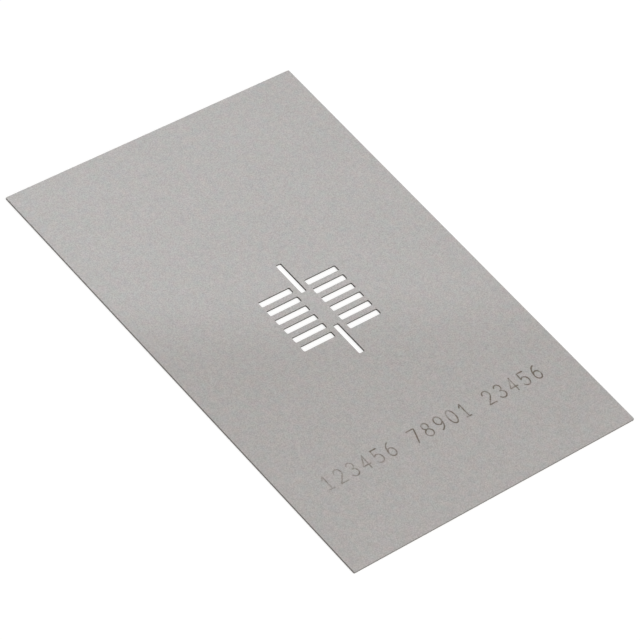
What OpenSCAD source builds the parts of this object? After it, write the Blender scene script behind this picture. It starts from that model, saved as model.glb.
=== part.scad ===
// Solder paste stencil: one flat, thin sheet of stainless steel with a pattern of laser-cut openings.
// Paste is wiped over the upper face and passes through each opening onto one pad of the board below.
// The sheet lies on its board side. X runs across it, Y along it, and the origin is under its middle.

/* [Sheet] */
// Width of the sheet
sheet_w = 22.86; // [15:0.01:60]
// Length of the sheet
sheet_l = 33.02; // [20:0.01:80]
// Thickness of the sheet
sheet_t = 0.127; // [0.08:0.001:0.3]
// Radius of the sheet's four corners
sheet_corner_r = 0.06; // [0.02:0.01:3]

/* [Openings] */
// Length of each opening at the upper face, outwards from the middle of the pattern
opening_l = 2.52; // [1:0.01:4]
// Width of each opening at the upper face
opening_w = 0.435; // [0.2:0.005:0.55]
// Radius that the laser beam leaves in the corners of an opening, at the upper face
opening_corner_r = 0.08; // [0.02:0.01:0.1]
// Slope of an opening's walls in degrees: they open towards the board, so that the paste lets go
wall_taper = 2; // [0:0.5:6]

/* [Pattern] */
// Number of openings in each of the two side rows
row_count = 6; // [3:1:12]
// Distance from one opening of a row to the next, centre to centre
pitch = 0.8; // [0.65:0.01:1.27]
// Steel left between the inner ends of the two side rows, at the upper face
row_gap = 1.2; // [0.8:0.01:5]
// How far the two end openings start inside the centre line of a row's last opening
end_inset = 0.515; // [0:0.005:0.6]

/* [Hidden] */
$fn = 48;

// Distance from the middle of the pattern to the centre of a row, across the sheet
row_x = (row_gap + opening_l) / 2;
// Distance from the middle of the pattern to the centre of a row's last opening, along the sheet
row_end_y = (row_count - 1) / 2 * pitch;
// Distance from the middle of the pattern to the centre of an end opening, along the sheet
end_y = row_end_y - end_inset + opening_l / 2;
// How far a cut runs past each face of the sheet
cut_past = 0.05;
// How far each wall of a cut has moved outwards at its lower end, and inwards at its upper end
wider_below = (sheet_t + cut_past) * tan(wall_taper);
narrower_above = cut_past * tan(wall_taper);

// A flat rectangle with round corners, centred on the origin
module rounded_rectangle(width, height, radius) {
    corner_x = width / 2 - radius;
    corner_y = height / 2 - radius;
    square([width, 2 * corner_y], center = true);
    square([2 * corner_x, height], center = true);
    for (x = [-corner_x, corner_x], y = [-corner_y, corner_y])
        translate([x, y]) circle(r = radius);
}

// A bar along Y, centred on the origin, whose two long walls slope and lie half_w apart from
// the middle at the sheet's upper face
module sloped_bar(half_w, length) {
    low = half_w + wider_below;
    high = half_w - narrower_above;
    top = sheet_t + cut_past;
    rotate([90, 0, 0])
        linear_extrude(height = length, center = true)
            polygon([[-low, -cut_past], [low, -cut_past], [high, top], [-high, top]]);
}

// The cut for one opening, with its length along X: two crossed bars, and a cone in each corner
module opening() {
    corner_x = opening_l / 2 - opening_corner_r;
    corner_y = opening_w / 2 - opening_corner_r;
    sloped_bar(opening_l / 2, 2 * corner_y);
    rotate(90) sloped_bar(opening_w / 2, 2 * corner_x);
    for (x = [-corner_x, corner_x], y = [-corner_y, corner_y])
        translate([x, y, -cut_past])
            cylinder(h = sheet_t + 2 * cut_past,
                     r1 = opening_corner_r + wider_below,
                     r2 = opening_corner_r - narrower_above);
}

// One row of openings side by side, centred on the origin
module side_row() {
    for (i = [0 : row_count - 1])
        translate([0, i * pitch - row_end_y, 0]) opening();
}

// All openings: a row on each side of the middle, and a single opening towards each end of the sheet
module opening_pattern() {
    for (side = [-1, 1]) {
        translate([side * row_x, 0, 0]) side_row();
        translate([0, side * end_y, 0]) rotate(90) opening();
    }
}

// The sheet, cut through by the whole pattern
module stencil_sheet() {
    color([0.70, 0.69, 0.68])
        difference() {
            linear_extrude(height = sheet_t)
                rounded_rectangle(sheet_w, sheet_l, sheet_corner_r);
            opening_pattern();
        }
}

stencil_sheet();
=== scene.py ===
"""Looks of a solder paste stencil that lies on a white table.

The steel sheet with its openings comes from the CAD frame. This script gives it its finish, adds the
row of digits that a laser has etched into it, and sets up the floor, the light and the camera.
Lengths are in metres, so most of them are written as a number of millimetres times MM.
"""

import math

import bpy
from mathutils import Matrix, Vector, kdtree


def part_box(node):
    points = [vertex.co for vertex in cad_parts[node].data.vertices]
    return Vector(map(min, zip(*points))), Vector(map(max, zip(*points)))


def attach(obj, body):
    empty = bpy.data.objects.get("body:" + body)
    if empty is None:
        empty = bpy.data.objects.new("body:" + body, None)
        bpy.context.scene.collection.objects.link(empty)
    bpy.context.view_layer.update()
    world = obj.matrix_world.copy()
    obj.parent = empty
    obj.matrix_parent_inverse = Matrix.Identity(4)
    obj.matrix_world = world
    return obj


MM = 0.001

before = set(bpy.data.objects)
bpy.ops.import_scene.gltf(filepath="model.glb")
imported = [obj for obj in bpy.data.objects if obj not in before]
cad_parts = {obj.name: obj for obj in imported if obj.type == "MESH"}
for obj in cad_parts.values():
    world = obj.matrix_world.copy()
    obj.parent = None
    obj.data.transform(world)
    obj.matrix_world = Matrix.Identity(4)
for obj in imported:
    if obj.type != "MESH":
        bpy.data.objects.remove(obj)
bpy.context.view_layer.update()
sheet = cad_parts["stencil_sheet"]
sheet_low, sheet_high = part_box("stencil_sheet")
sheet_middle = (sheet_low + sheet_high) / 2

# ---------------------------------------------------------------- camera
CAMERA_AZIMUTH = -54.185
CAMERA_ELEVATION = 46.413
CAMERA_ROLL = math.radians(18.581)
CAMERA_DISTANCE = 247.19 * MM
CAMERA_AIM = Vector((-0.52 * MM, -0.674 * MM, 0.0))
CAMERA_LENS_MM = 231.22
CAMERA_SENSOR_MM = 36.0
CAMERA_CLIP = 0.01

# ---------------------------------------------------------------- light and floor
# Lamps come from an azimuth and an elevation, in degrees. The floor is part glow and part paint, which
# together look just white where nothing shades it.
FLOOR_HALF_SIZE = 1.5
FLOOR_GAP = 0.005 * MM
FLOOR_GLOW = 0.6
FLOOR_PAINT = (0.45, 0.45, 0.45, 1.0)
WHITE = (1.0, 1.0, 1.0, 1.0)
WORLD_LIGHT = 0.6
SOFTBOX_DISTANCE = 0.6
SOFTBOX_SIZE = 0.4
SOFTBOX_COLOUR = (1.0, 0.98, 0.95)
KEY_FROM = (20, 60)
KEY_WATTS = 1.6
FILL_FROM = (-30, 12)
FILL_WATTS = 0.8
# The far light is a beam that comes in near where the camera sees it mirrored in the sheet. Its soft
# edge crosses the sheet, so that only the part beyond the edge is lifted a little.
BEAM_FROM = (139, 50)
BEAM_COLOUR = (0.83, 0.90, 0.95)
BEAM_WATTS = 1.3
BEAM_DISTANCE = 1.0
BEAM_LAMP_RADIUS = 1.0 * MM
BEAM_HALF_ANGLE = math.radians(45)
BEAM_EDGE_WIDTH = 5.8 * MM
BEAM_EDGE_FROM = Vector((-10.0 * MM, 3.15 * MM, 0.0))
BEAM_EDGE_TO = Vector((10.0 * MM, -6.25 * MM, 0.0))

# ---------------------------------------------------------------- steel
# The rolled face has a grain, a mottle and blotches, from fine to coarse, and a tint that drifts a
# little in each colour channel. A contrast is how far a noise swings its value to either side.
STEEL = (0.394, 0.3786, 0.3687, 1.0)
EDGE_STEEL = (0.19, 0.175, 0.165, 1.0)
EDGE_BREADTH = 1.0 * MM
# The walls inside the openings: the laser-cut colour, darkened further with painted shade for their narrow
# hollows.
SHADED_CUT_STEEL = (0.08, 0.070, 0.062, 1.0)
CUT_METALLIC = 0.1
CUT_ROUGHNESS = 0.6
FACE_ROUGHNESS = 0.40
ROUGHNESS_RANGE = 0.10
RELIEF_STRENGTH = 0.15
RELIEF_HEIGHT = 0.004 * MM
GRAIN_SIZE = 0.075 * MM
GRAIN_CONTRAST = 0.335
MOTTLE_SIZE = 0.45 * MM
MOTTLE_CONTRAST = 0.04
BLOTCH_SIZE = 4.0 * MM
BLOTCH_CONTRAST = 0.02
TINT_SIZE = 0.5 * MM
TINT_CONTRAST = Vector((0.075, 0.03, 0.03))
STREAK_SIZE = 0.03 * MM
STREAK_CONTRAST = 0.25
STREAK_STRETCH = (1.0, 1.0, 0.15)

# ---------------------------------------------------------------- etched digits
# The strokes are thin strips that stand hardly proud of the face. A strip has a few columns of points
# across it, given as shares of its half width. The burn is patchy, fades here and there, and is fainter
# over the first share of the row.
DIGITS = "123456 78901 23456"
DIGIT_ADVANCE = 1.0 * MM
DIGIT_WIDTH = 0.56 * MM
DIGIT_HEIGHT = 1.0 * MM
DIGIT_BASELINE = 5.38 * MM
STROKE_HALF_WIDTH = 0.075 * MM
STROKE_STEP = 0.025 * MM
SAME_POINT = 0.01 * STROKE_STEP
STROKE_ACROSS = (-1.0, -0.66, -0.33, 0.0, 0.33, 0.66, 1.0)
STROKE_PROUD = 0.0015 * MM
STROKE_SUNK = 0.001 * MM
STROKE_LAYER = 0.0003 * MM
ARC_STEP = math.radians(10)
FAINT_BURN = 0.6
FAINT_SHARE = 0.4
BURNT_STEEL = (0.37, 0.325, 0.275, 1.0)
PATCH_SIZE = 0.22 * MM
PATCH_CONTRAST = 1.1
FADE_SIZE = 1.1 * MM
FADE_CONTRAST = 0.9


class Tree:
    """The node tree of a material or world, cleared and ready to be filled."""

    def __init__(self, owner):
        owner.use_nodes = True
        self.tree = owner.node_tree
        self.tree.nodes.clear()

    def add(self, kind, inputs=None, **settings):
        """Adds a node. An input is given as a number, a colour or another node's output socket."""
        node = self.tree.nodes.new(kind)
        for name, value in settings.items():
            setattr(node, name, value)
        for key, value in (inputs or {}).items():
            if isinstance(value, bpy.types.NodeSocket):
                self.tree.links.new(value, node.inputs[key])
            else:
                node.inputs[key].default_value = value
        return node

    def math(self, operation, a, b=0.0, c=0.0):
        """The result of one step of arithmetic on numbers or sockets."""
        return self.add("ShaderNodeMath", {0: a, 1: b, 2: c}, operation=operation).outputs[0]

    def mix(self, factor, a, b, blend_type="MIX"):
        """Two colours mixed by a factor."""
        inputs = {0: factor, 6: a, 7: b}
        return self.add("ShaderNodeMix", inputs, data_type="RGBA", blend_type=blend_type).outputs[2]

    def noise(self, size, detail=0.0, shift=0.0, stretch=(1.0, 1.0, 1.0), output="Fac"):
        """Noise from 0 to 1 whose spots are about size across, fixed to the object. A shift keeps two
        noises from having the same spots. Its output Color has another noise in each channel."""
        place = self.add("ShaderNodeTexCoord").outputs["Object"]
        mapping = self.add("ShaderNodeMapping", {"Vector": place, "Location": (shift, shift, shift),
                                                 "Scale": stretch})
        return self.add("ShaderNodeTexNoise", {"Vector": mapping.outputs[0], "Scale": 1.0 / size,
                                               "Detail": detail}).outputs[output]

    def swing(self, noise, contrast):
        """Noise turned into a number that swings around 1 by the given contrast."""
        return self.math("MULTIPLY_ADD", noise, 2.0 * contrast, 1.0 - contrast)

    def surface(self, shader):
        """Makes the shader the surface of the material or world."""
        kind = "ShaderNodeOutputWorld" if shader.bl_idname == "ShaderNodeBackground" else \
            "ShaderNodeOutputMaterial"
        self.add(kind, {"Surface": shader.outputs[0]})


# ---------------------------------------------------------------- steel
def rolled_steel(tree):
    """Colour, roughness and relief of the rolled face: a fine even grain over soft cloudy blotches."""
    grain = tree.noise(GRAIN_SIZE, detail=1.0)
    mottle = tree.noise(MOTTLE_SIZE, detail=2.0, shift=0.3)
    blotch = tree.noise(BLOTCH_SIZE, detail=2.0, shift=0.7)
    tint = tree.add("ShaderNodeVectorMath", {
        0: tree.noise(TINT_SIZE, detail=1.0, shift=1.1, output="Color"),
        1: 2.0 * TINT_CONTRAST,
        2: Vector((1.0, 1.0, 1.0)) - TINT_CONTRAST,
    }, operation="MULTIPLY_ADD").outputs[0]
    level = tree.math("MULTIPLY", tree.swing(grain, GRAIN_CONTRAST), tree.swing(mottle, MOTTLE_CONTRAST))
    level = tree.math("MULTIPLY", level, tree.swing(blotch, BLOTCH_CONTRAST))
    colour = tree.mix(1.0, tree.mix(1.0, STEEL, tint, "MULTIPLY"), level, "MULTIPLY")
    roughness = tree.math("MULTIPLY_ADD", mottle, ROUGHNESS_RANGE, FACE_ROUGHNESS)
    relief = tree.add("ShaderNodeBump", {"Strength": RELIEF_STRENGTH, "Distance": RELIEF_HEIGHT,
                                         "Height": grain})
    return colour, roughness, relief.outputs[0]


def cut_walls(tree):
    """1 on the sheet's cut walls and 0 on its two flat faces."""
    normal = tree.add("ShaderNodeTexCoord").outputs["Normal"]
    upright = tree.add("ShaderNodeSeparateXYZ", {0: normal}).outputs["Z"]
    return tree.math("LESS_THAN", tree.math("ABSOLUTE", upright), 0.5)


def outer_walls(tree):
    """1 close to the sheet's outline and 0 further in, where the openings are and their walls get painted
    shade.
    """
    place = tree.add("ShaderNodeTexCoord").outputs["Object"]
    sides = tree.add("ShaderNodeSeparateXYZ", {0: place}).outputs
    beyond = []
    for axis in range(2):
        off_middle = tree.math("ABSOLUTE", tree.math("SUBTRACT", sides[axis], sheet_middle[axis]))
        beyond.append(tree.math("GREATER_THAN", off_middle,
                                sheet_high[axis] - sheet_middle[axis] - EDGE_BREADTH))
    return tree.math("MAXIMUM", *beyond)


def steel_material():
    """Rolled stainless steel with dull, darker walls where the laser has cut it, and painted shade that
    darkens the walls inside the openings further, for their narrow hollows.
    """
    material = bpy.data.materials.new("stainless_steel")
    tree = Tree(material)
    colour, roughness, relief = rolled_steel(tree)
    wall = cut_walls(tree)
    streaks = tree.noise(STREAK_SIZE, detail=1.0, stretch=STREAK_STRETCH)
    # Painted shade: walls inside the openings are darker than those along the outline.
    cut_colour_and_painted_shade = tree.mix(outer_walls(tree), SHADED_CUT_STEEL, EDGE_STEEL)
    cut_colour_and_painted_shade = tree.mix(1.0, cut_colour_and_painted_shade, tree.swing(streaks, STREAK_CONTRAST), "MULTIPLY")
    tree.surface(tree.add("ShaderNodeBsdfPrincipled", {
        "Base Color": tree.mix(wall, colour, cut_colour_and_painted_shade),
        "Roughness": tree.math("MAXIMUM", roughness, tree.math("MULTIPLY", wall, CUT_ROUGHNESS)),
        "Metallic": tree.math("MULTIPLY_ADD", wall, CUT_METALLIC - 1.0, 1.0),
        "Normal": relief,
    }))
    return material


def etched_material():
    """The same rolled steel, browned by a laser as far as each point's burn says."""
    material = bpy.data.materials.new("etched_steel")
    tree = Tree(material)
    colour, roughness, relief = rolled_steel(tree)
    burn = tree.add("ShaderNodeAttribute", attribute_name="burn").outputs["Fac"]
    patch = tree.noise(PATCH_SIZE, detail=2.0, shift=1.9)
    fade = tree.noise(FADE_SIZE, detail=1.0, shift=2.3)
    burn = tree.math("MULTIPLY", burn, tree.swing(patch, PATCH_CONTRAST))
    burn = tree.math("MULTIPLY", burn, tree.swing(fade, FADE_CONTRAST))
    burn = tree.math("MINIMUM", tree.math("MAXIMUM", burn, 0.0), 1.0)
    tree.surface(tree.add("ShaderNodeBsdfPrincipled", {
        "Base Color": tree.mix(burn, colour, tree.mix(1.0, colour, BURNT_STEEL, "MULTIPLY")),
        "Roughness": roughness,
        "Metallic": 1.0,
        "Normal": relief,
    }))
    return material


# ---------------------------------------------------------------- digits
def arc(centre_x, centre_y, radius_x, radius_y, start_deg, end_deg):
    """Points along part of an ellipse, in a cell that is 1 wide and 1 high."""
    start, end = math.radians(start_deg), math.radians(end_deg)
    steps = math.ceil(abs(end - start) / ARC_STEP)
    angles = (start + (end - start) * i / steps for i in range(steps + 1))
    return [(centre_x + radius_x * math.cos(a), centre_y + radius_y * math.sin(a)) for a in angles]


def turned(strokes):
    """Strokes turned half round in their cell."""
    return [[(1.0 - x, 1.0 - y) for x, y in stroke] for stroke in strokes]


# Each digit is a list of strokes, and a stroke has no sharp corner: where the pen turns, a new one starts.
SIX = [arc(0.5, 0.3, 0.46, 0.3, 180, 540), arc(0.86, 0.3, 0.82, 0.7, 180, 98)]
GLYPHS = {
    "0": [arc(0.5, 0.5, 0.5, 0.5, 90, 450)],
    "1": [[(0.22, 0.8), (0.52, 1.0)], [(0.52, 1.0), (0.52, 0.0)], [(0.2, 0.0), (0.84, 0.0)]],
    "2": [arc(0.5, 0.7, 0.46, 0.3, 165, -32) + [(0.02, 0.0)], [(0.02, 0.0), (1.0, 0.0)]],
    "3": [arc(0.47, 0.76, 0.42, 0.24, 155, -90), arc(0.47, 0.26, 0.5, 0.26, 90, -155)],
    "4": [[(0.72, 0.0), (0.72, 1.0)], [(0.72, 1.0), (0.0, 0.3)], [(0.0, 0.3), (1.0, 0.3)]],
    "5": [[(0.92, 1.0), (0.14, 1.0)], [(0.14, 1.0), (0.08, 0.53)], arc(0.46, 0.31, 0.51, 0.31, 138, -150)],
    "6": SIX,
    "7": [[(0.0, 1.0), (1.0, 1.0)], [(1.0, 1.0), (0.35, 0.0)]],
    "8": [arc(0.5, 0.76, 0.4, 0.24, -90, 270), arc(0.5, 0.26, 0.48, 0.26, 90, 450)],
    "9": turned(SIX),
}


def placed_strokes(digit, left, baseline):
    """The strokes of a digit on the sheet, as points that lie no further apart than STROKE_STEP."""
    strokes = []
    for stroke in GLYPHS[digit]:
        corners = [Vector((left + x * DIGIT_WIDTH, baseline + y * DIGIT_HEIGHT, 0.0)) for x, y in stroke]
        strokes.append(finely(corners))
    return strokes


def finely(corners):
    """The points of a line that is divided into steps of STROKE_STEP at most."""
    points = [corners[0]]
    for a, b in zip(corners, corners[1:]):
        steps = math.ceil((b - a).length / STROKE_STEP)
        points += [a.lerp(b, i / steps) for i in range(1, steps + 1)]
    return points


def lengthened(points):
    """The points of a stroke that runs on straight past both ends by half its width."""
    start = points[0] + (points[0] - points[1]).normalized() * STROKE_HALF_WIDTH
    end = points[-1] + (points[-1] - points[-2]).normalized() * STROKE_HALF_WIDTH
    return finely([start, points[0]])[:-1] + points + finely([points[-1], end])[1:]


def ribbon(points, top, bottom, first):
    """The corners and faces of a thin strip along the points, numbered from first. A strip that comes
    back to its start is joined up there, and any other runs on by half its width and has closed ends."""
    is_loop = (points[-1] - points[0]).length < SAME_POINT
    points = points[:-1] if is_loop else lengthened(points)
    section = [(share, top) for share in STROKE_ACROSS]
    section += [(STROKE_ACROSS[-1], bottom), (STROKE_ACROSS[0], bottom)]
    size, count = len(section), len(points)
    corners = []
    for i, point in enumerate(points):
        before = points[i - 1] if i > 0 or is_loop else point
        after = points[(i + 1) % count] if i < count - 1 or is_loop else point
        along = (after - before).normalized()
        across = Vector((along.y, -along.x, 0.0)) * STROKE_HALF_WIDTH
        corners += [point + across * share + Vector((0.0, 0.0, z)) for share, z in section]
    faces = []
    for i in range(count if is_loop else count - 1):
        here, there = first + i * size, first + (i + 1) % count * size
        faces += [(here + j, here + (j + 1) % size, there + (j + 1) % size, there + j) for j in range(size)]
    if not is_loop:
        end = first + (count - 1) * size
        faces += [tuple(range(first + size - 1, first - 1, -1)), tuple(range(end, end + size))]
    return corners, faces


def burn_at(corner, centre_points, left, right):
    """How strongly the laser has marked a point: less with its distance from the stroke's middle line,
    and less towards the left end of the row."""
    distance = centre_points.find((corner.x, corner.y, 0.0))[2] / STROKE_HALF_WIDTH
    along_row = (corner.x - left) / (right - left) / FAINT_SHARE
    strength = FAINT_BURN + (1.0 - FAINT_BURN) * min(1.0, max(0.0, along_row)) ** 2
    return strength * max(0.0, 1.0 - distance ** 2) ** 2


def etched_digits():
    """A row of plain digits across the near end of the sheet, in three groups."""
    row_left = sheet_middle.x - 0.5 * len(DIGITS) * DIGIT_ADVANCE
    row_right = sheet_middle.x + 0.5 * len(DIGITS) * DIGIT_ADVANCE
    corners, burns, faces = [], [], []
    for place, digit in enumerate(DIGITS):
        if digit not in GLYPHS:
            continue
        left = row_left + (place + 0.5) * DIGIT_ADVANCE - 0.5 * DIGIT_WIDTH
        strokes = placed_strokes(digit, left, sheet_low.y + DIGIT_BASELINE)
        middle_line = [point for stroke in strokes for point in stroke]
        near = kdtree.KDTree(len(middle_line))
        for i, point in enumerate(middle_line):
            near.insert(point, i)
        near.balance()
        for layer, stroke in enumerate(strokes):
            top = sheet_high.z + STROKE_PROUD + layer * STROKE_LAYER
            new_corners, new_faces = ribbon(stroke, top, sheet_high.z - STROKE_SUNK, len(corners))
            corners += new_corners
            faces += new_faces
            burns += [burn_at(corner, near, row_left, row_right) for corner in new_corners]
    mesh = bpy.data.meshes.new("etched_digits")
    mesh.from_pydata(corners, [], faces)
    mesh.attributes.new("burn", "FLOAT", "POINT").data.foreach_set("value", burns)
    mesh.materials.append(etched_material())
    piece = bpy.data.objects.new("etched_digits", mesh)
    bpy.context.scene.collection.objects.link(piece)
    return piece


# ---------------------------------------------------------------- stage
def seen_as_white(tree):
    """1 for what the camera sees itself, in metal or through glass, and 0 for light on a dull surface."""
    path = tree.add("ShaderNodeLightPath").outputs
    seen = tree.math("ADD", path["Is Camera Ray"], path["Is Glossy Ray"])
    seen = tree.math("ADD", seen, path["Is Transmission Ray"])
    return tree.math("MINIMUM", seen, 1.0)


def floor_material():
    """White to the eye, with enough paint in it to keep the sheet's shadow."""
    material = bpy.data.materials.new("floor_white")
    tree = Tree(material)
    glow = tree.add("ShaderNodeEmission", {
        "Color": WHITE,
        "Strength": tree.math("MULTIPLY", seen_as_white(tree), FLOOR_GLOW),
    })
    paint = tree.add("ShaderNodeBsdfDiffuse", {"Color": FLOOR_PAINT})
    tree.surface(tree.add("ShaderNodeAddShader", {0: glow.outputs[0], 1: paint.outputs[0]}))
    return material


def add_floor():
    """A plain white floor just under the sheet."""
    s = FLOOR_HALF_SIZE
    z = sheet_low.z - FLOOR_GAP
    mesh = bpy.data.meshes.new("floor")
    mesh.from_pydata([(-s, -s, z), (s, -s, z), (s, s, z), (-s, s, z)], [], [(0, 1, 2, 3)])
    mesh.materials.append(floor_material())
    floor = bpy.data.objects.new("floor", mesh)
    bpy.context.scene.collection.objects.link(floor)


def add_world():
    """White surroundings, which light dull surfaces a little less than they show."""
    world = bpy.data.worlds.new("white_studio")
    tree = Tree(world)
    strength = tree.math("MULTIPLY_ADD", seen_as_white(tree), 1.0 - WORLD_LIGHT, WORLD_LIGHT)
    tree.surface(tree.add("ShaderNodeBackground", {"Color": WHITE, "Strength": strength}))
    bpy.context.scene.world = world


def towards(azimuth_deg, elevation_deg):
    """Unit vector from the object to a place around it; azimuth 0 is on the -Y side."""
    azimuth, elevation = math.radians(azimuth_deg), math.radians(elevation_deg)
    return Vector((math.sin(azimuth) * math.cos(elevation),
                   -math.cos(azimuth) * math.cos(elevation),
                   math.sin(elevation)))


def add_lamp(kind, name, place, aim, watts, colour):
    """A lamp at a place that shines at another, returned for its further settings."""
    lamp = bpy.data.lights.new(name, kind)
    lamp.energy = watts
    lamp.color = colour
    holder = bpy.data.objects.new(name, lamp)
    holder.location = place
    holder.rotation_euler = (place - aim).to_track_quat("Z", "Y").to_euler()
    bpy.context.scene.collection.objects.link(holder)
    return lamp


def add_softbox(name, azimuth_and_elevation, watts):
    """A large square lamp that faces the middle of the sheet."""
    place = towards(*azimuth_and_elevation) * SOFTBOX_DISTANCE
    lamp = add_lamp("AREA", name, place, Vector(), watts, SOFTBOX_COLOUR)
    lamp.size = SOFTBOX_SIZE


def add_far_beam():
    """The beam with the soft edge: its lamp is turned until the edge of its cone crosses the sheet."""
    direction = towards(*BEAM_FROM)
    edge_middle = (BEAM_EDGE_FROM + BEAM_EDGE_TO) / 2
    along_edge = (BEAM_EDGE_TO - BEAM_EDGE_FROM).normalized()
    over_edge = Vector((-along_edge.y, along_edge.x, 0.0))
    inwards = direction.cross(along_edge).normalized()
    edge_angle = BEAM_EDGE_WIDTH * inwards.dot(over_edge) / BEAM_DISTANCE
    aim = edge_middle + inwards * math.tan(BEAM_HALF_ANGLE - edge_angle / 2) * BEAM_DISTANCE
    place = edge_middle + direction * BEAM_DISTANCE
    lamp = add_lamp("SPOT", "far_beam", place, aim, BEAM_WATTS, BEAM_COLOUR)
    rim = math.cos(BEAM_HALF_ANGLE)
    full = math.cos(BEAM_HALF_ANGLE - edge_angle)
    lamp.spot_size = 2 * BEAM_HALF_ANGLE
    lamp.spot_blend = (full - rim) / (1 - rim)
    lamp.shadow_soft_size = BEAM_LAMP_RADIUS


def add_camera():
    """The camera at its viewing angle, rolled about its own axis."""
    back = towards(CAMERA_AZIMUTH, CAMERA_ELEVATION)
    level_right = (-back).cross(Vector((0.0, 0.0, 1.0))).normalized()
    level_up = level_right.cross(-back)
    right = math.cos(CAMERA_ROLL) * level_right + math.sin(CAMERA_ROLL) * level_up
    up = math.cos(CAMERA_ROLL) * level_up - math.sin(CAMERA_ROLL) * level_right
    lens = bpy.data.cameras.new("camera")
    lens.lens = CAMERA_LENS_MM
    lens.sensor_width = CAMERA_SENSOR_MM
    lens.clip_start = CAMERA_CLIP
    camera = bpy.data.objects.new("camera", lens)
    turn = Matrix((right, up, back)).transposed().to_4x4()
    camera.matrix_world = Matrix.Translation(CAMERA_AIM + back * CAMERA_DISTANCE) @ turn
    bpy.context.scene.collection.objects.link(camera)
    bpy.context.scene.camera = camera


add_camera()
add_world()
add_floor()
add_softbox("key_light", KEY_FROM, KEY_WATTS)
add_softbox("fill_light", FILL_FROM, FILL_WATTS)
add_far_beam()

sheet.data.materials.clear()
sheet.data.materials.append(steel_material())
digits = etched_digits()
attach(digits, "root")

bpy.context.scene.view_settings.view_transform = "Standard"
